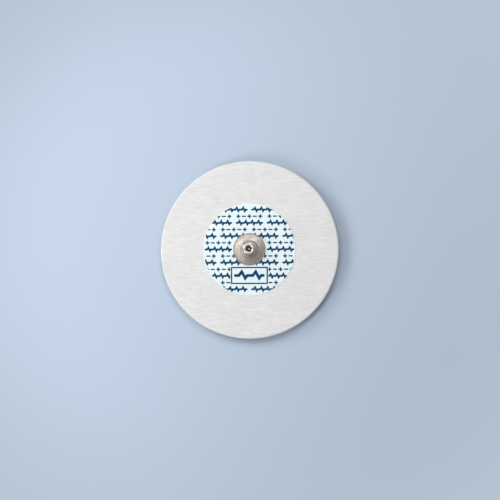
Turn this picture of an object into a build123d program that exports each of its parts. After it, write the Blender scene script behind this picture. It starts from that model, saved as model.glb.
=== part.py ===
"""A round foam monitoring electrode for electrocardiograms, with a metal snap stud, on its clear release liner.

Millimetres, +Z up along the stud's axis. The origin is the centre of the liner's flat foot, on which the
electrode lies. From below: clear liner with a pressed cup, skin adhesive, foam disc with a gel well through
it, gel sponge in the well, sensor on the sponge, printed label over the well, and the drawn metal stud, which
the sensor's post holds from inside.
"""
import os

from build123d import *

# Foam backing: die-cut disc with a well through its middle
disc_d = 55.0
foam_t = 1.2
foam_edge_r = 0.5        # the cutting die rounds the top edge
foam_under_r = 0.1
well_d = 20.0

# Skin adhesive, coated under the foam, and cut back a little from both edges
adhesive_t = 0.1
adhesive_setback = 0.15

# Release liner: clear sheet with a pressed cup below the gel
liner_t = 0.25
cup_depth = 1.5
cup_lip = 0.6            # the cup's mouth is this much wider than the well, all round
cup_foot_r = 0.5         # bend at the cup's foot
cup_mouth_r = 0.6        # bend at the cup's mouth
liner_setback = 0.1      # the liner is cut this much inside the foam's edge

# Label: printed film over the well
label_d = 28.5
label_t = 0.15
label_hole_gap = 0.08

# Snap stud: one drawn shell. Radii are of its outer face, heights are above the label
sheet_t = 0.22
flange_r = 4.95
flange_seat_w = 0.45     # flat ring at the flange's edge
collar_r = 2.5
collar_base_h = 0.7
collar_h = 1.12
collar_lean = 0.13       # the collar's wall stands this much further out at its base
neck_r = 1.72
neck_top_h = 1.6
bead_r = 1.97
bead_base_h = 1.85
stud_h = 3.42
recess_r = 0.95
recess_floor_r = 0.36
recess_depth = 1.0
recess_floor_bend_r = 0.3
crown_bend_r = 0.52
cone_bend_r = 0.5
small_bend_r = 0.17

# Sensor: coated plastic eyelet, whose post swells inside the stud
sensor_d = 10.0
sensor_t = 0.45
sensor_edge_r = 0.15
post_gap = 0.04
post_head_gap = 0.12     # from the swollen end to the bead's inside
post_head_bevel = 0.15

# Gel sponge: fills the well and the cup, round the sensor
sponge_gap = 0.9         # to the well's wall
sponge_pocket_gap = 0.15
sponge_edge_r = 0.25
cup_foot_gap = 0.5       # from the sponge to the cup's inner wall, at its foot

# Ink on the label
ink_t = 0.03
ink_edge_gap = 0.12
ink_stud_gap = 0.06
row_pitch = 2.05
mark_pitch = 9.6         # along a row
beats_in_mark = 4
beat_w = 1.98
beat_rise = 0.6
beat_dip = 0.45
beat_line_w = 0.58
signs_in_mark = 5        # plus and minus by turns
sign_pitch = 1.7
sign_w = 1.2
sign_line_w = 0.4
panel_w = 11.4
panel_h = 5.3
panel_line_w = 0.4
panel_stud_gap = 0.45
panel_gap = 0.16         # to the marks round the panel
panel_beats = 2
panel_beat_w = 4.3
panel_beat_rise = 1.15
panel_beat_dip = 0.85
panel_beat_line_w = 0.86
smallest_mark = 0.12     # area of the smallest cut-off mark that still prints

# Heights of the stack, from the liner's foot up
liner_top_z = cup_depth + liner_t
foam_bottom_z = liner_top_z + adhesive_t
foam_top_z = foam_bottom_z + foam_t
label_top_z = foam_top_z + label_t
sensor_bottom_z = foam_top_z - sensor_t
recess_floor_h = stud_h - recess_depth

disc_r = disc_d / 2
well_r = well_d / 2
label_r = label_d / 2
sensor_r = sensor_d / 2
sponge_r = well_r - sponge_gap
post_r = neck_r - sheet_t - post_gap
post_head_r = bead_r - sheet_t - post_head_gap


def turned(profile):
    """Solid of revolution of a flat outline, drawn as radius and height."""
    return revolve(Plane.XZ * profile, Axis.Z)


def pressed_sheet(points, bends, thickness, edge_r):
    """Outline of a pressed sheet out to edge_r: a middle line with rounded bends, and half the thickness each side."""
    line = FilletPolyline(*points, radius=bends)
    outline = make_face(offset(line, thickness / 2, side=Side.BOTH))
    return outline & Pos(edge_r / 2, 0) * Rectangle(edge_r, 2 * edge_r)


def foam_backing():
    """Closed-cell foam ring with a rounded top edge."""
    outline = Pos((disc_r + well_r) / 2, foam_bottom_z + foam_t / 2) * Rectangle(disc_r - well_r, foam_t)
    rim = outline.vertices().group_by(Axis.X)[-1].sort_by(Axis.Y)
    outline = fillet(rim[-1], foam_edge_r)
    rim = outline.vertices().group_by(Axis.Y)[0].sort_by(Axis.X)
    return turned(fillet(rim[-1], foam_under_r))


def skin_adhesive():
    """Thin ring of adhesive between foam and liner."""
    outer_r = disc_r - foam_under_r - adhesive_setback
    inner_r = well_r + adhesive_setback
    middle = Pos((outer_r + inner_r) / 2, liner_top_z + adhesive_t / 2)
    return turned(middle * Rectangle(outer_r - inner_r, adhesive_t))


def release_liner():
    """Clear sheet whose cup reaches down to the surface on which the electrode lies."""
    half = liner_t / 2
    foot_r = sponge_r + cup_foot_gap + half
    mouth_r = well_r + cup_lip + half
    points = [(-foot_r, half), (foot_r, half), (mouth_r, cup_depth + half), (disc_r, cup_depth + half)]
    return turned(pressed_sheet(points, [cup_foot_r, cup_mouth_r], liner_t, disc_r - liner_setback))


def label():
    """Film disc that closes the well, with a hole for the sensor's post."""
    film = Circle(label_r) - Circle(post_r + label_hole_gap)
    return extrude(Pos(0, 0, foam_top_z) * film, label_t)


def snap_stud():
    """Drawn shell: flat seat, cone, collar, neck, bead and the recess in its crown."""
    half = sheet_t / 2
    points = [
        (flange_r - half, half),
        (flange_r - flange_seat_w, half),
        (collar_r - half + collar_lean, collar_base_h - half),
        (collar_r - half, collar_h - half),
        (neck_r - half, collar_h - half),
        (neck_r - half, neck_top_h),
        (bead_r - half, bead_base_h),
        (bead_r - half, stud_h - half),
        (recess_r + half, stud_h - half),
        (recess_floor_r + half, recess_floor_h - half),
        (-recess_floor_r, recess_floor_h - half),
    ]
    bends = [cone_bend_r] + 5 * [small_bend_r] + [crown_bend_r, small_bend_r, recess_floor_bend_r]
    return Pos(0, 0, label_top_z) * turned(pressed_sheet(points, bends, sheet_t, flange_r))


def sensor_eyelet():
    """Round plate under the label, and a post through it that swells inside the stud's bead."""
    post_top_z = label_top_z + recess_floor_h - sheet_t
    neck_end_z = label_top_z + neck_top_h + post_head_gap
    head_start_z = label_top_z + bead_base_h + post_head_gap
    plate_middle_z = foam_top_z - sensor_t / 2
    plate = Pos(0, 0, sensor_bottom_z) * extrude(Circle(sensor_r), sensor_t)
    plate = fillet(plate.edges().group_by(Axis.Z)[0], sensor_edge_r)
    line = Polyline(
        (0, plate_middle_z), (post_r, plate_middle_z), (post_r, neck_end_z), (post_head_r, head_start_z),
        (post_head_r, post_top_z - post_head_bevel), (post_head_r - post_head_bevel, post_top_z),
        (0, post_top_z), close=True,
    )
    return plate + turned(make_face(line))


def gel_sponge():
    """Soaked sponge from the liner's cup up to the sensor and the label, with a pocket round the sensor."""
    blank = extrude(Pos(0, 0, liner_t) * Circle(sponge_r), foam_top_z - liner_t)
    blank = fillet(blank.edges(), sponge_edge_r)
    pocket = extrude(Pos(0, 0, sensor_bottom_z) * Circle(sensor_r + sponge_pocket_gap), sensor_t)
    return blank - pocket


def heartbeats(count, width, rise, dip, line_w):
    """Printed trace of some heartbeats in a row. Places along a beat are shares of its width."""
    beat_line = [(0, 0), (0.25, 0), (0.45, rise), (0.7, -dip), (0.85, 0)]
    points = [((beat + x - count / 2) * width, y) for beat in range(count) for x, y in beat_line]
    line = Polyline(*points, (count / 2 * width, 0))
    return make_face(offset(line, line_w / 2, side=Side.BOTH, kind=Kind.INTERSECTION))


def plus_minus_row():
    """Printed plus and minus signs by turns."""
    minus = Rectangle(sign_w, sign_line_w)
    plus = minus + Rectangle(sign_line_w, sign_w)
    places = [Pos((i - (signs_in_mark - 1) / 2) * sign_pitch, 0) for i in range(signs_in_mark)]
    return [place * (minus if i % 2 else plus) for i, place in enumerate(places)]


def label_print():
    """Blue ink: staggered rows of heartbeats and of signs, cut at the label's edge, and a framed trace by the stud."""
    panel_y = -(flange_r + panel_stud_gap + panel_h / 2)
    frame = Rectangle(panel_w, panel_h) - Rectangle(panel_w - 2 * panel_line_w, panel_h - 2 * panel_line_w)
    trace = heartbeats(panel_beats, panel_beat_w, panel_beat_rise, panel_beat_dip, panel_beat_line_w)
    panel = [Pos(0, panel_y) * frame, Pos(0, panel_y) * trace]
    field = Circle(label_r - ink_edge_gap) - Circle(flange_r + ink_stud_gap)
    field -= Pos(0, panel_y) * Rectangle(panel_w + 2 * panel_gap, panel_h + 2 * panel_gap)
    pulse = heartbeats(beats_in_mark, beat_w, beat_rise, beat_dip, beat_line_w)
    signs = plus_minus_row()
    rows = int(label_r / row_pitch)
    marks_each_side = int(label_r / mark_pitch) + 1
    faces = []
    for row in range(-rows, rows + 1):
        shift = (row // 2 % 2) * mark_pitch / 2
        for column in range(-marks_each_side, marks_each_side + 1):
            place = Pos(column * mark_pitch + shift, row * row_pitch)
            for mark in ([pulse] if row % 2 == 0 else signs):
                faces += (place * mark & field).faces()
    faces = [face for face in faces if face.area > smallest_mark]
    ink = [extrude(Pos(0, 0, label_top_z) * face, ink_t) for face in faces + panel]
    return Compound(children=[solid for piece in ink for solid in piece.solids()])


os.makedirs("parts", exist_ok=True)
for make in (foam_backing, skin_adhesive, release_liner, label, label_print, snap_stud, sensor_eyelet, gel_sponge):
    export_step(make(), f"parts/{make.__name__}.step")
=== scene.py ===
"""A round foam monitoring electrode with a metal snap stud, lying on its clear release liner on a pale table.

Metres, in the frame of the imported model. The sections follow the electrode as it is put together, from the liner
up to the stud, and then come the table, the lamps and the camera.
"""
import cmath
import math

import bmesh
import bpy
from mathutils import Matrix, Vector


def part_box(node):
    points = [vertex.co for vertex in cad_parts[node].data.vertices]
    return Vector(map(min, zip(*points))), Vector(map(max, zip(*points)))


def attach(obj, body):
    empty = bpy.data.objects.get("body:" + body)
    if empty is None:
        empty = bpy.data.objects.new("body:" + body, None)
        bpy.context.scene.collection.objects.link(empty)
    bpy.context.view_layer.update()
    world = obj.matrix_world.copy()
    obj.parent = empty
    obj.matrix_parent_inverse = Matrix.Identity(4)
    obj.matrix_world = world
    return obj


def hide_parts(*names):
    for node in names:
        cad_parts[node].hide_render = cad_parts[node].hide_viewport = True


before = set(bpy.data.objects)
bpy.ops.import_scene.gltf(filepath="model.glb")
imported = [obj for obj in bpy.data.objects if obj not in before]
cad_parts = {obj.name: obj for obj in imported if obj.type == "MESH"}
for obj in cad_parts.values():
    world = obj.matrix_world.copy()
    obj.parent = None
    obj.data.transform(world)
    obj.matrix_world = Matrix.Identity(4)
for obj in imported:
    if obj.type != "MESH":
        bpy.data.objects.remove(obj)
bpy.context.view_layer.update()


# Release liner: a clear polyester sheet, pressed over a round mould so that a cup is left for the wet gel.
# The adhesive lies on its flange, and the whole electrode stands on the cup's flat foot.
mm = 0.001
liner_low, liner_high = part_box("release_liner")
foam_low, foam_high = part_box("foam_backing")
liner_t = 0.23 * mm
liner_gap = 0.02 * mm
cup_foot_r = 9.725 * mm
cup_mouth_r = 10.725 * mm
cup_foot_bend = 0.5 * mm
cup_mouth_bend = 0.6 * mm
liner_step = 0.6 * mm
bend_steps = 10
round_steps = 256


def rounded(points, bends, step):
    """A line through points, each radius + height * 1j, with bent corners and its points at most a step apart."""
    line = [points[0]]
    for before, corner, after, bend in zip(points, points[1:], points[2:], bends):
        back = (before - corner) / abs(before - corner)
        onward = (after - corner) / abs(after - corner)
        half = abs(cmath.phase(onward / back)) / 2
        centre = corner + (back + onward) / abs(back + onward) * bend / math.sin(half)
        start = corner + back * bend / math.tan(half) - centre
        turn = cmath.phase((corner + onward * bend / math.tan(half) - centre) / start)
        line += [centre + start * cmath.exp(1j * turn * k / bend_steps) for k in range(bend_steps + 1)]
    line.append(points[-1])
    fine = [line[0]]
    for a, b in zip(line, line[1:]):
        parts = max(1, math.ceil(abs(b - a) / step))
        fine += [a + (b - a) * k / parts for k in range(1, parts + 1)]
    return fine


def pressed_sheet(line, thickness):
    """Section of a sheet of even thickness along a line that starts at the axis. Its free edge is half round."""
    upper = []
    lower = []
    for i, point in enumerate(line):
        along = line[min(i + 1, len(line) - 1)] - line[max(i - 1, 0)]
        side = 1j * along / abs(along) * thickness / 2
        upper.append(point + side)
        lower.append(point - side)
    edge = [line[-1] + side * cmath.exp(-1j * math.pi * k / bend_steps) for k in range(1, bend_steps)]
    return upper + edge + lower[::-1]


def put(tree, kind, inputs=None, **settings):
    """Adds a node to a tree. An input that is given a socket is linked to it, and any other value is set."""
    node = tree.nodes.new(kind)
    for name, value in settings.items():
        setattr(node, name, value)
    for key, value in (inputs or {}).items():
        if isinstance(value, bpy.types.NodeSocket):
            tree.links.new(value, node.inputs[key])
        else:
            node.inputs[key].default_value = value
    return node


def make_tree(name, **sizes):
    """New geometry tree with a geometry, a material and these named sizes going in, and a geometry coming out."""
    tree = bpy.data.node_groups.new(name, "GeometryNodeTree")
    tree.interface.new_socket("Geometry", in_out="INPUT", socket_type="NodeSocketGeometry")
    tree.interface.new_socket("Finish", in_out="INPUT", socket_type="NodeSocketMaterial")
    for size, value in sizes.items():
        kind = "NodeSocketInt" if isinstance(value, int) else "NodeSocketFloat"
        socket = tree.interface.new_socket(size, in_out="INPUT", socket_type=kind)
        socket.default_value = value
    tree.interface.new_socket("Geometry", in_out="OUTPUT", socket_type="NodeSocketGeometry")
    return tree, put(tree, "NodeGroupInput").outputs


def close_tree(tree, geometry, finish):
    """Ends a geometry tree: real faces, in their material."""
    real = put(tree, "GeometryNodeRealizeInstances", {"Geometry": geometry})
    done = put(tree, "GeometryNodeSetMaterial", {"Geometry": real.outputs[0], "Material": finish})
    put(tree, "NodeGroupOutput", {"Geometry": done.outputs[0]})


def turning_tree():
    """Turns a section, drawn as radius along X and height along Z, round the vertical axis."""
    tree, given = make_tree("turning", Around=round_steps)
    path_r = 1 * mm
    section = put(tree, "GeometryNodeMeshToCurve", {"Mesh": given["Geometry"]})
    upright = put(tree, "GeometryNodeTransform", {
        "Geometry": section.outputs[0], "Translation": (-path_r, 0, 0), "Rotation": (math.pi / 2, 0, 0)})
    path = put(tree, "GeometryNodeCurvePrimitiveCircle", {"Resolution": given["Around"], "Radius": path_r})
    solid = put(tree, "GeometryNodeCurveToMesh", {"Curve": path.outputs[0], "Profile Curve": upright.outputs[0]})
    closed = put(tree, "GeometryNodeMergeByDistance", {"Geometry": solid.outputs[0], "Distance": 1e-7})
    smooth = put(tree, "GeometryNodeSetShadeSmooth", {"Geometry": closed.outputs[0]})
    close_tree(tree, smooth.outputs[0], given["Finish"])
    return tree


def shape_by(piece, tree, **values):
    """Puts a geometry tree on a piece with these inputs."""
    modifier = piece.modifiers.new(tree.name, "NODES")
    modifier.node_group = tree
    for item in tree.interface.items_tree:
        if item.in_out == "INPUT" and item.name in values:
            modifier[item.identifier] = values[item.name]


def turned(name, section, around, finish):
    """A piece whose first tree turns its section round the axis. A section clear of the axis is a closed line."""
    mesh = bpy.data.meshes.new(name)
    last = len(section) - 1
    joins = [(i, i + 1) for i in range(last)]
    if section[0].real > 0:
        joins.append((last, 0))
    mesh.from_pydata([(point.real, 0, point.imag) for point in section], joins, [])
    piece = bpy.data.objects.new(name, mesh)
    bpy.context.scene.collection.objects.link(piece)
    shape_by(piece, turning, Around=around, Finish=finish)
    return piece


def settled(piece):
    """The piece as a plain mesh with its faces outwards and no modifiers."""
    made = bpy.data.meshes.new_from_object(piece.evaluated_get(bpy.context.evaluated_depsgraph_get()))
    made.name = piece.name
    piece.modifiers.clear()
    piece.data = made
    faces = bmesh.new()
    faces.from_mesh(made)
    bmesh.ops.recalc_face_normals(faces, faces=faces.faces)
    faces.to_mesh(made)
    faces.free()
    return piece


def finish_of(name, **plain):
    """New material: its node tree, its shader with these plain values set, and its Object coordinates."""
    material = bpy.data.materials.new(name)
    material.use_nodes = True
    tree = material.node_tree
    shader = tree.nodes["Principled BSDF"]
    for socket, value in plain.items():
        shader.inputs[socket.replace("_", " ")].default_value = value
    return material, tree, shader, put(tree, "ShaderNodeTexCoord").outputs["Object"]


def stretched(tree, place, x, y, z, turn=0.0):
    """Object coordinates in grains of these sizes, turned about the vertical axis."""
    return put(tree, "ShaderNodeMapping", {
        "Vector": place, "Rotation": (0, 0, turn), "Scale": (1 / x, 1 / y, 1 / z)}).outputs[0]


def grain(tree, place, detail=2.0, wave=0.0):
    """Soft noise from 0 to 1, one grain to each unit of place."""
    return put(tree, "ShaderNodeTexNoise", {
        "Vector": place, "Scale": 1.0, "Detail": detail, "Distortion": wave}).outputs["Fac"]


def between(tree, share, low, high):
    """A value that runs from low to high as share runs from 0.3 to 0.7, where soft noise mostly lies."""
    return put(tree, "ShaderNodeMapRange", {
        "Value": share, "From Min": 0.3, "From Max": 0.7, "To Min": low, "To Max": high}).outputs[0]


def tinted(tree, share, low, high):
    """A colour that runs from low to high with share."""
    mix = put(tree, "ShaderNodeMix", {"Factor": between(tree, share, 0, 1)}, data_type="RGBA")
    mix.inputs["A"].default_value = (*low, 1)
    mix.inputs["B"].default_value = (*high, 1)
    return next(socket for socket in mix.outputs if socket.type == "RGBA")


def raised(tree, height, depth, under=None):
    """Bump whose height runs over this depth in metres."""
    inputs = {"Height": height, "Distance": depth, "Strength": 1.0}
    if under is not None:
        inputs["Normal"] = under
    return put(tree, "ShaderNodeBump", inputs).outputs[0]


def clear_polyester():
    """Glossy clear sheet with the faint drag lines of its forming and a few scuffs."""
    material, tree, shader, place = finish_of(
        "clear polyester", Base_Color=(0.80, 0.88, 0.92, 1), IOR=1.57, Alpha=0.28)
    scuffs = grain(tree, stretched(tree, place, 6 * mm, 0.25 * mm, 2 * mm, turn=0.6), detail=4)
    dents = grain(tree, stretched(tree, place, 3 * mm, 3 * mm, 3 * mm))
    tree.links.new(between(tree, scuffs, 0.05, 0.16), shader.inputs["Roughness"])
    tree.links.new(raised(tree, dents, 0.02 * mm), shader.inputs["Normal"])
    return material


turning = turning_tree()
liner_edge_r = liner_high.x - liner_t / 2
foot_z = liner_low.z + liner_t / 2
flange_z = liner_high.z - liner_gap - liner_t / 2
liner_line = rounded(
    [foot_z * 1j, cup_foot_r + foot_z * 1j, cup_mouth_r + flange_z * 1j, liner_edge_r + flange_z * 1j],
    [cup_foot_bend, cup_mouth_bend], liner_step)
liner = settled(turned("liner_sheet", pressed_sheet(liner_line, liner_t), round_steps, clear_polyester()))
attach(liner, "root")
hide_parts("release_liner")


# Skin adhesive: a thin coat of pressure-sensitive glue, spread on the foam before it is cut.
# It is a faintly yellow, very glossy film with the fine waves of the spreader.
def skin_glue():
    """Glossy, slightly yellow glue."""
    material, tree, shader, place = finish_of("skin glue", Roughness=0.12, IOR=1.47)
    waves = grain(tree, stretched(tree, place, 5 * mm, 0.8 * mm, 5 * mm), wave=0.6)
    tree.links.new(tinted(tree, waves, (0.72, 0.70, 0.60), (0.80, 0.78, 0.69)), shader.inputs["Base Color"])
    tree.links.new(raised(tree, waves, 0.01 * mm), shader.inputs["Normal"])
    return material


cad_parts["skin_adhesive"].material_slots[0].material = skin_glue()


# Foam backing: a disc cut from white closed-cell foam, with a well punched through its middle.
# Its skin has fine crosswise streaks from the foaming line, and the cutting die rounds and opens its edge.
well_r = 10 * mm
foam_edge_bend = 0.5 * mm
foam_small_bend = 0.1 * mm
foam_skin_step = 0.21 * mm
foam_under_step = 2.5 * mm
foam_around = 768
under_label_w = 0.5 * mm
under_edge_w = 2 * mm
seam_w = 0.1 * mm
streak_length = 3.4 * mm
streak_height = 0.62 * mm
streak_depth = 0.04 * mm
cell_size = 0.22 * mm
cell_depth = 0.05 * mm


def foam_skin_tree():
    """Raises streaks on faces that look up, and opens cells where the cutter went down."""
    tree, given = make_tree("foam skin", Length=1.0, Height=1.0, Depth=0.0, Cell=1.0, Cell_Depth=0.0, Seed=0.0)
    place = put(tree, "GeometryNodeInputPosition").outputs[0]
    normal = put(tree, "GeometryNodeInputNormal").outputs[0]
    up = put(tree, "ShaderNodeSeparateXYZ", {0: normal}).outputs["Z"]
    lying = put(tree, "ShaderNodeMapRange", {"Value": up, "From Min": 0.2, "From Max": 0.95}).outputs[0]
    size = put(tree, "ShaderNodeCombineXYZ", {"X": given["Length"], "Y": given["Height"], "Z": given["Height"]})
    long_place = put(tree, "ShaderNodeVectorMath", {0: place, 1: size.outputs[0]}, operation="DIVIDE").outputs[0]
    streaks = put(tree, "ShaderNodeTexNoise", {
        "Vector": long_place, "W": given["Seed"], "Scale": 1.0, "Detail": 2.0, "Distortion": 0.35},
        noise_dimensions="4D").outputs[0]
    cell_share = put(tree, "ShaderNodeMath", {0: 1.0, 1: given["Cell"]}, operation="DIVIDE").outputs[0]
    cells = put(tree, "ShaderNodeTexVoronoi", {"Vector": place, "Scale": cell_share}).outputs["Distance"]
    rise = put(tree, "ShaderNodeMath", {0: streaks, 1: 0.5}, operation="SUBTRACT").outputs[0]
    rise = put(tree, "ShaderNodeMath", {0: rise, 1: given["Depth"]}, operation="MULTIPLY").outputs[0]
    rise = put(tree, "ShaderNodeMath", {0: rise, 1: lying}, operation="MULTIPLY").outputs[0]
    cut = put(tree, "ShaderNodeMath", {0: 1.0, 1: lying}, operation="SUBTRACT").outputs[0]
    hollow = put(tree, "ShaderNodeMath", {0: cells, 1: 1.0}, operation="SUBTRACT").outputs[0]
    hollow = put(tree, "ShaderNodeMath", {0: hollow, 1: given["Cell_Depth"]}, operation="MULTIPLY").outputs[0]
    hollow = put(tree, "ShaderNodeMath", {0: hollow, 1: cut}, operation="MULTIPLY").outputs[0]
    move = put(tree, "ShaderNodeMath", {0: rise, 1: hollow}, operation="ADD").outputs[0]
    offset = put(tree, "ShaderNodeVectorMath", {0: normal, "Scale": move}, operation="SCALE").outputs[0]
    moved = put(tree, "GeometryNodeSetPosition", {"Geometry": given["Geometry"], "Offset": offset})
    close_tree(tree, moved.outputs[0], given["Finish"])
    return tree


def white_foam():
    """Soft matte white foam: long warm and cool streaks, and the small dimples of its cells."""
    material, tree, shader, place = finish_of("white foam", Roughness=0.82, Specular_IOR_Level=0.28)
    streaks = grain(tree, stretched(tree, place, 2.8 * mm, 0.46 * mm, 0.5 * mm, turn=0.03), detail=3, wave=0.5)
    clouds = grain(tree, stretched(tree, place, 9 * mm, 4 * mm, 4 * mm))
    shade = put(tree, "ShaderNodeMix", {"Factor": 0.25, "A": streaks, "B": clouds}).outputs[0]
    tree.links.new(tinted(tree, shade, (0.69, 0.69, 0.68), (0.84, 0.835, 0.825)), shader.inputs["Base Color"])
    cells = put(tree, "ShaderNodeTexVoronoi", {"Vector": place, "Scale": 1 / (0.16 * mm)}).outputs["Distance"]
    dimples = raised(tree, cells, 0.006 * mm)
    tree.links.new(raised(tree, streaks, 0.065 * mm, under=dimples), shader.inputs["Normal"])
    return material


label_low, label_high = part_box("label")
foam_r = foam_high.x
foam_top = foam_high.z * 1j
foam_under = foam_low.z * 1j
skin_start_r = label_high.x - under_label_w
foam_section = rounded(
    [skin_start_r + foam_top, well_r + foam_top, well_r + foam_under, foam_r - under_edge_w + foam_under],
    [foam_small_bend, foam_small_bend], foam_under_step)
foam_section += rounded(
    [foam_r - under_edge_w + seam_w + foam_under, foam_r + foam_under, foam_r + foam_top, skin_start_r + foam_top],
    [foam_small_bend, foam_edge_bend], foam_skin_step)[:-1]
foam_finish = white_foam()
foam = turned("foam_disc", foam_section, foam_around, foam_finish)
shape_by(
    foam, foam_skin_tree(), Finish=foam_finish, Length=streak_length, Height=streak_height, Depth=streak_depth,
    Cell=cell_size, Cell_Depth=cell_depth, Seed=4.0)
settled(foam)
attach(foam, "root")
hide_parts("foam_backing")


# Gel sponge: a punched disc of open-cell sponge, soaked in salt gel, that fills the well and the liner's cup.
# Its top has a pocket for the sensor. From below, it shows wet through the clear cup.
sponge_low, sponge_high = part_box("gel_sponge")
sensor_low, sensor_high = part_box("sensor_eyelet")
pocket_gap = 0.15 * mm
sponge_bend = 0.25 * mm
pocket_bend = 0.04 * mm
sponge_step = 0.14 * mm
sponge_around = 400
pore_size = 0.42 * mm
pore_depth = 0.14 * mm


def sponge_tree():
    """Sinks pores into every face, never outwards, so that the sponge stays in its cup."""
    tree, given = make_tree("sponge pores", Pore=1.0, Depth=0.0)
    place = put(tree, "GeometryNodeInputPosition").outputs[0]
    normal = put(tree, "GeometryNodeInputNormal").outputs[0]
    share = put(tree, "ShaderNodeMath", {0: 1.0, 1: given["Pore"]}, operation="DIVIDE").outputs[0]
    cells = put(tree, "ShaderNodeTexVoronoi", {"Vector": place, "Scale": share}, feature="SMOOTH_F1")
    open_share = put(tree, "ShaderNodeMapRange", {
        "Value": cells.outputs["Distance"], "From Min": 0.55, "From Max": 0.15}).outputs[0]
    sink = put(tree, "ShaderNodeMath", {0: open_share, 1: given["Depth"]}, operation="MULTIPLY").outputs[0]
    sink = put(tree, "ShaderNodeMath", {0: sink, 1: -1.0}, operation="MULTIPLY").outputs[0]
    offset = put(tree, "ShaderNodeVectorMath", {0: normal, "Scale": sink}, operation="SCALE").outputs[0]
    moved = put(tree, "GeometryNodeSetPosition", {"Geometry": given["Geometry"], "Offset": offset})
    close_tree(tree, moved.outputs[0], given["Finish"])
    return tree


def wet_sponge():
    """Pale sponge under a wet skin of gel, with painted shade in its pores."""
    material, tree, shader, place = finish_of("wet sponge", Roughness=0.45, Coat_Weight=0.9, Coat_Roughness=0.06)
    pores = put(tree, "ShaderNodeTexVoronoi", {"Vector": place, "Scale": 1 / pore_size}, feature="SMOOTH_F1")
    # Painted shade: the colour is darkest at the middle of each pore, where the sponge tree sinks it.
    colour = tinted(tree, pores.outputs["Distance"], (0.42, 0.52, 0.56), (0.70, 0.77, 0.79))
    tree.links.new(colour, shader.inputs["Base Color"])
    beads = grain(tree, stretched(tree, place, 0.7 * mm, 0.7 * mm, 0.7 * mm))
    tree.links.new(raised(tree, beads, 0.05 * mm), shader.inputs["Coat Normal"])
    return material


sponge_r = sponge_high.x
pocket_r = sensor_high.x + pocket_gap
sponge_section = rounded(
    [sponge_low.z * 1j, sponge_r + sponge_low.z * 1j, sponge_r + sponge_high.z * 1j, pocket_r + sponge_high.z * 1j,
     pocket_r + sensor_low.z * 1j, sensor_low.z * 1j],
    [sponge_bend, sponge_bend, pocket_bend, pocket_bend], sponge_step)
sponge_finish = wet_sponge()
sponge = turned("gel_pad", sponge_section, sponge_around, sponge_finish)
shape_by(sponge, sponge_tree(), Finish=sponge_finish, Pore=pore_size, Depth=pore_depth)
settled(sponge)
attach(sponge, "root")
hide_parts("gel_sponge")


# Sensor: a moulded plastic eyelet, plated with silver whose face is turned to silver chloride.
# The plate lies on the sponge, and its post goes up into the stud and locks it on.
def silver_chloride():
    """Dull grey-violet coating with a fine powdery grain."""
    material, tree, shader, place = finish_of("silver chloride", Metallic=0.35, Roughness=0.6)
    powder = grain(tree, stretched(tree, place, 0.3 * mm, 0.3 * mm, 0.3 * mm), detail=5)
    tree.links.new(tinted(tree, powder, (0.22, 0.20, 0.23), (0.40, 0.38, 0.41)), shader.inputs["Base Color"])
    tree.links.new(raised(tree, powder, 0.01 * mm), shader.inputs["Normal"])
    return material


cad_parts["sensor_eyelet"].material_slots[0].material = silver_chloride()


# Label: a disc of white polyester film, glued over the well so that it carries the stud and seals the gel in.
# The film bridges the gap between foam and sponge, where it sinks very slightly.
label_bend = 0.05 * mm
label_hole_r = 1.6 * mm
label_step = 0.4 * mm
label_seam_w = 1 * mm


def white_film():
    """Smooth white film with a faint cool cast and fine orange peel."""
    material, tree, shader, place = finish_of("white film", Roughness=0.34, IOR=1.5)
    clouds = grain(tree, stretched(tree, place, 2.2 * mm, 2.2 * mm, 2.2 * mm), detail=3)
    tree.links.new(tinted(tree, clouds, (0.76, 0.89, 0.91), (0.85, 0.935, 0.95)), shader.inputs["Base Color"])
    flat_place = put(tree, "ShaderNodeVectorMath", {0: place, 1: (1, 1, 0)}, operation="MULTIPLY").outputs[0]
    reach = put(tree, "ShaderNodeVectorMath", {0: flat_place}, operation="LENGTH").outputs["Value"]
    gap_middle = (sponge_r + well_r) / 2
    away = put(tree, "ShaderNodeMath", {0: reach, 1: gap_middle}, operation="SUBTRACT").outputs[0]
    away = put(tree, "ShaderNodeMath", {0: away}, operation="ABSOLUTE").outputs[0]
    dip = put(tree, "ShaderNodeMapRange", {"Value": away, "From Min": 0, "From Max": well_r - sponge_r},
              interpolation_type="SMOOTHSTEP").outputs[0]
    peel = raised(tree, grain(tree, stretched(tree, place, 0.5 * mm, 0.5 * mm, 0.5 * mm)), 0.004 * mm)
    tree.links.new(raised(tree, dip, 0.02 * mm, under=peel), shader.inputs["Normal"])
    return material


label_top = label_high.z * 1j
label_under = label_low.z * 1j
label_section = rounded(
    [label_hole_r + label_seam_w + label_under, label_high.x + label_under, label_high.x + label_top,
     label_hole_r + label_top, label_hole_r + label_under, label_hole_r + label_seam_w - seam_w + label_under],
    4 * [label_bend], label_step)
label = settled(turned("label_film", label_section, round_steps, white_film()))
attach(label, "root")
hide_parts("label")


# Label print: blue ink in staggered rows of heartbeat traces and of plus and minus signs, and a framed trace.
# The ink is slightly uneven, as it lies on film that doesn't soak it up.
def blue_ink():
    """Blue printing ink, a little thinner in places."""
    material, tree, shader, place = finish_of("blue ink", Roughness=0.5, Specular_IOR_Level=0.08)
    thin = grain(tree, stretched(tree, place, 0.35 * mm, 0.35 * mm, 0.35 * mm), detail=4)
    tree.links.new(tinted(tree, thin, (0.001, 0.034, 0.095), (0.002, 0.080, 0.205)), shader.inputs["Base Color"])
    tree.links.new(between(tree, thin, 0.4, 0.6), shader.inputs["Roughness"])
    return material


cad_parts["label_print"].material_slots[0].material = blue_ink()


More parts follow.
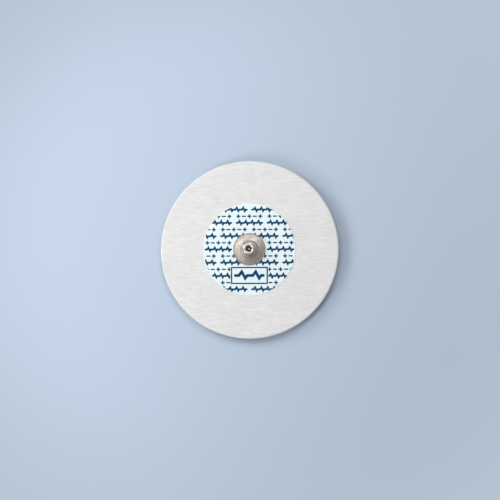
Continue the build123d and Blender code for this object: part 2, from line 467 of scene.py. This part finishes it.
# Snap stud: one shell drawn from thin brass sheet in several strokes, then plated with nickel.
# A flat seat and a cone spread its load on the label, and the bead above its neck holds the lead's socket.
stud_low, stud_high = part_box("snap_stud")
sheet_t = 0.22 * mm
stud_edge_r = stud_high.x
seat_w = 0.45 * mm
collar_r = 2.5 * mm
collar_base_h = 0.70 * mm
collar_h = 1.12 * mm
collar_lean = 0.26 * mm
neck_r = 1.72 * mm
neck_top_h = 1.6 * mm
bead_r = 1.97 * mm
bead_base_h = 1.85 * mm
recess_r = 0.95 * mm
recess_floor_r = 0.36 * mm
recess_depth = 1.0 * mm
recess_floor_bend = 0.34 * mm
lip_bend = 0.40 * mm
crown_bend = 0.44 * mm
cone_bend = 0.5 * mm
small_bend = 0.17 * mm
stud_step = 0.07 * mm
draw_rings = 3
draw_ring_first_r = 3.0 * mm
draw_ring_pitch = 0.5 * mm
draw_ring_w = 0.13 * mm
draw_ring_rise = 0.034 * mm
turned_ring_pitch = 1.1 * mm
# Radius inside which the painted shade in the stud's neck begins.
neck_shade_r = 2.02 * mm
crown_side_z = stud_low.z + bead_base_h + 0.2 * mm
darker_rim_from_r = stud_edge_r - 0.5 * mm
dark_rim_r = stud_edge_r - 0.2 * mm


def fading(tree, value, start, end):
    """Runs smoothly from 0 at start to 1 at end."""
    return put(tree, "ShaderNodeMapRange", {"Value": value, "From Min": start, "From Max": end},
               interpolation_type="SMOOTHSTEP").outputs[0]


def times(tree, a, b):
    """The product of two values."""
    return put(tree, "ShaderNodeMath", {0: a, 1: b}, operation="MULTIPLY").outputs[0]


def larger(tree, a, b):
    """The larger of two values."""
    return put(tree, "ShaderNodeMath", {0: a, 1: b}, operation="MAXIMUM").outputs[0]


def darkened(tree, colour, share, towards):
    """The colour, multiplied by another where share is 1."""
    mix = put(tree, "ShaderNodeMix", {"Factor": share}, data_type="RGBA", blend_type="MULTIPLY")
    tree.links.new(colour, mix.inputs["A"])
    mix.inputs["B"].default_value = (*towards, 1)
    return next(socket for socket in mix.outputs if socket.type == "RGBA")


def drawn_ring(point):
    """The point, raised where the drawing dies left a faint ring on the cone."""
    centres = [draw_ring_first_r + k * draw_ring_pitch for k in range(draw_rings)]
    rise = sum(math.exp(-((point.real - centre) / draw_ring_w) ** 2) for centre in centres)
    on_cone = point.imag < stud_low.z + collar_base_h
    return point + 1j * draw_ring_rise * rise * on_cone


def turned_nickel():
    """Warm satin nickel with turned rings and faint tarnish; painted shade on walls, neck and recess, a darker
    rim, painted crown highlight.
    """
    material, tree, shader, place = finish_of("turned nickel", Metallic=1.0, Anisotropic=0.3)
    flat_place = put(tree, "ShaderNodeVectorMath", {0: place, 1: (1, 1, 0)}, operation="MULTIPLY").outputs[0]
    reach = put(tree, "ShaderNodeVectorMath", {0: flat_place}, operation="LENGTH").outputs["Value"]
    height = put(tree, "ShaderNodeSeparateXYZ", {0: place}).outputs["Z"]
    rings = put(tree, "ShaderNodeTexWave", {
        "Vector": place, "Scale": 1 / turned_ring_pitch, "Distortion": 0.6, "Detail": 2.0},
        wave_type="RINGS", rings_direction="Z")
    tarnish = grain(tree, stretched(tree, place, 1.4 * mm, 1.4 * mm, 1.4 * mm), detail=4)
    facing = put(tree, "ShaderNodeNewGeometry").outputs["Normal"]
    # Painted shade: faces that stand steep, on the bead, neck, collar and recess walls, get a darker colour.
    wall_shade = fading(tree, put(tree, "ShaderNodeSeparateXYZ", {0: facing}).outputs["Z"], 0.70, 0.25)
    # Painted shade: the colour darkens in the neck under the bead and inside the recess, where shade falls.
    inwards = fading(tree, reach, neck_shade_r, bead_r - small_bend)
    neck_shade_share = times(tree, inwards, fading(tree, height, crown_side_z, crown_side_z - small_bend))
    off_middle = fading(tree, reach, 0.1 * mm, 0.45 * mm)
    recess_shade_share = times(tree, off_middle, fading(tree, reach, recess_r, recess_r * 0.6))
    plate = tinted(tree, tarnish, (0.43, 0.37, 0.315), (0.51, 0.46, 0.405))
    plate = darkened(tree, plate, wall_shade, (0.55, 0.52, 0.50))
    # Painted highlight: the colour on the crown is raised above the plate's; its lower roughness below is the real
    # polish.
    high = fading(tree, height, crown_side_z, crown_side_z + crown_bend)
    crown = times(tree, high, fading(tree, reach, recess_r * 0.85, recess_r))
    plate = darkened(tree, plate, crown, (1.3, 1.37, 1.44))
    # The colour gets darker towards the stud's rim.
    plate = darkened(tree, plate, fading(tree, reach, darker_rim_from_r, dark_rim_r), (0.62, 0.61, 0.61))
    # The neck and recess shade is painted into the colour here.
    crease_shade = larger(tree, neck_shade_share, recess_shade_share)
    tree.links.new(darkened(tree, plate, crease_shade, (0.42, 0.39, 0.36)), shader.inputs["Base Color"])
    shine = larger(tree, crown, fading(tree, reach, recess_r, recess_r * 0.7))
    polish = put(tree, "ShaderNodeMapRange", {"Value": shine, "To Min": 1.0, "To Max": 0.65}).outputs[0]
    tree.links.new(times(tree, between(tree, tarnish, 0.46, 0.36), polish), shader.inputs["Roughness"])
    tree.links.new(raised(tree, rings.outputs["Fac"], 0.004 * mm), shader.inputs["Normal"])
    around = put(tree, "ShaderNodeTangent", direction_type="RADIAL", axis="Z").outputs[0]
    tree.links.new(around, shader.inputs["Tangent"])
    return material


half_t = sheet_t / 2
stud_h = stud_high.z - stud_low.z
recess_floor_h = stud_h - recess_depth
stud_points = [
    0 + (recess_floor_h - half_t) * 1j,
    recess_floor_r + half_t + (recess_floor_h - half_t) * 1j,
    recess_r + half_t + (stud_h - half_t) * 1j,
    bead_r - half_t + (stud_h - half_t) * 1j,
    bead_r - half_t + bead_base_h * 1j,
    neck_r - half_t + neck_top_h * 1j,
    neck_r - half_t + (collar_h - half_t) * 1j,
    collar_r - half_t + (collar_h - half_t) * 1j,
    collar_r - half_t + collar_lean + (collar_base_h - half_t) * 1j,
    stud_edge_r - seat_w + half_t * 1j,
    stud_edge_r - half_t + half_t * 1j,
]
stud_bends = [recess_floor_bend, lip_bend, crown_bend] + 5 * [small_bend] + [cone_bend]
stud_line = [point + stud_low.z * 1j for point in rounded(stud_points, stud_bends, stud_step)]
stud_section = pressed_sheet([drawn_ring(point) for point in stud_line], sheet_t)
stud = settled(turned("stud_shell", stud_section, round_steps, turned_nickel()))
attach(stud, "root")
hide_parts("snap_stud")


# Table: a plain pale sheet under the electrode, which isn't part of it. Away from the electrode it shows one even
# colour to the camera and in the metal, so that a low view has a pale background too. From below it isn't seen.
table_half = 3.0
table_colour = (0.50, 0.59, 0.71, 1)
far_colour = (0.47, 0.555, 0.665, 1)
near_r = 0.05
far_r = 0.12
table_mesh = bpy.data.meshes.new("table")
corners = [(x * table_half, y * table_half, 0) for x, y in ((-1, -1), (1, -1), (1, 1), (-1, 1))]
table_mesh.from_pydata(corners, [], [(0, 1, 2, 3)])
table = bpy.data.objects.new("table", table_mesh)
bpy.context.scene.collection.objects.link(table)
table_finish, table_tree, table_shader, table_place = finish_of(
    "pale table", Base_Color=table_colour, Roughness=0.9)
underneath = put(table_tree, "ShaderNodeNewGeometry").outputs["Backfacing"]
seen = put(table_tree, "ShaderNodeLightPath").outputs["Is Camera Ray"]
through = times(table_tree, underneath, seen)


def background_rays(tree):
    """1 for rays that show a background: to the camera, in a reflection or through the clear liner."""
    path = put(tree, "ShaderNodeLightPath").outputs
    return larger(tree, larger(tree, path["Is Camera Ray"], path["Is Glossy Ray"]), path["Is Transmission Ray"])


from_middle = put(table_tree, "ShaderNodeVectorMath", {0: table_place}, operation="LENGTH").outputs["Value"]
far = times(table_tree, background_rays(table_tree), fading(table_tree, from_middle, near_r, far_r))
glow = put(table_tree, "ShaderNodeEmission", {"Color": far_colour}).outputs[0]
lit_table = put(table_tree, "ShaderNodeMixShader", {0: far, 1: table_shader.outputs[0], 2: glow}).outputs[0]
one_sided = put(table_tree, "ShaderNodeMixShader", {
    0: through, 1: lit_table, 2: put(table_tree, "ShaderNodeBsdfTransparent").outputs[0]})
table_tree.links.new(one_sided.outputs[0], table_tree.nodes["Material Output"].inputs["Surface"])
table_mesh.materials.append(table_finish)


# Lamps: four small softboxes round the electrode, the stronger ones to its left. Those brighten the left side of
# the stud's cone, and the others put the small lights on its crown.
middle = Vector((0, 0, foam_high.z))
lamp_distance = 0.30
lamp_side = 0.12


def soft_lamp(name, direction, power, colour):
    """Square lamp in that direction from the electrode, facing it."""
    lamp_data = bpy.data.lights.new(name, "AREA")
    lamp_data.size = lamp_side
    lamp_data.energy = power
    lamp_data.color = colour
    lamp = bpy.data.objects.new(name, lamp_data)
    bpy.context.scene.collection.objects.link(lamp)
    away = Vector(direction).normalized()
    facing = away.to_track_quat("Z", "Y").to_matrix().to_4x4()
    lamp.matrix_world = Matrix.Translation(middle + away * lamp_distance) @ facing


soft_lamp("overhead softbox", (-0.253, 0.253, 0.934), 0.13, (1, 0.99, 0.97))
soft_lamp("upper left softbox", (-0.760, 0.354, 0.545), 0.32, (1, 1, 1))
soft_lamp("lower left softbox", (-0.687, -0.481, 0.545), 0.27, (1, 1, 1))
soft_lamp("rear softbox", (0.141, 0.526, 0.839), 0.19, (1, 1, 1))


# Room: an even pale light all round. Where the camera, the metal and the clear liner look at its low part, it has
# the far floor's colour, so that no horizon shows.
room_light = (0.361, 0.369, 0.38, 1)
strip_low = 0.15
strip_high = 0.45
world = bpy.data.worlds.new("pale room")
bpy.context.scene.world = world
world.use_nodes = True
room = world.node_tree
towards = put(room, "ShaderNodeTexCoord").outputs["Generated"]
rise = put(room, "ShaderNodeSeparateXYZ", {0: towards}).outputs["Z"]
pale_strip = times(room, background_rays(room), fading(room, rise, strip_high, strip_low))
room_colours = put(room, "ShaderNodeMix", {"Factor": pale_strip}, data_type="RGBA")
room_colours.inputs["A"].default_value = room_light
room_colours.inputs["B"].default_value = far_colour
room_colour = next(socket for socket in room_colours.outputs if socket.type == "RGBA")
room.links.new(room_colour, room.nodes["Background"].inputs["Color"])


# Camera: nearly straight above and a little to the lower right, as the photograph was taken, with the label's top
# up. The disc's width and centre in the picture give its distance and aim.
image_px = 500
disc_px = 178.3
disc_centre_px = (249.4, 249.4)
azimuth = math.radians(42)
elevation = math.radians(85)
lens = 85
sensor = 36
px_per_m = disc_px / (2 * foam_r)
level = Vector((math.sin(azimuth), -math.cos(azimuth), 0))
back = level * math.cos(elevation) + Vector((0, 0, math.sin(elevation)))
right = Vector((0, 1, 0)).cross(back).normalized()
up = back.cross(right)
off_x, off_y = ((centre - image_px / 2) / px_per_m for centre in disc_centre_px)
aim = middle - right * off_x + up * off_y
distance = image_px / px_per_m * lens / sensor
camera_data = bpy.data.cameras.new("camera")
camera_data.lens = lens
camera_data.sensor_width = sensor
camera = bpy.data.objects.new("camera", camera_data)
bpy.context.scene.collection.objects.link(camera)
camera.matrix_world = Matrix.Translation(aim + back * distance) @ Matrix((right, up, back)).transposed().to_4x4()
bpy.context.scene.camera = camera

scene = bpy.context.scene
scene.view_settings.view_transform = "Standard"
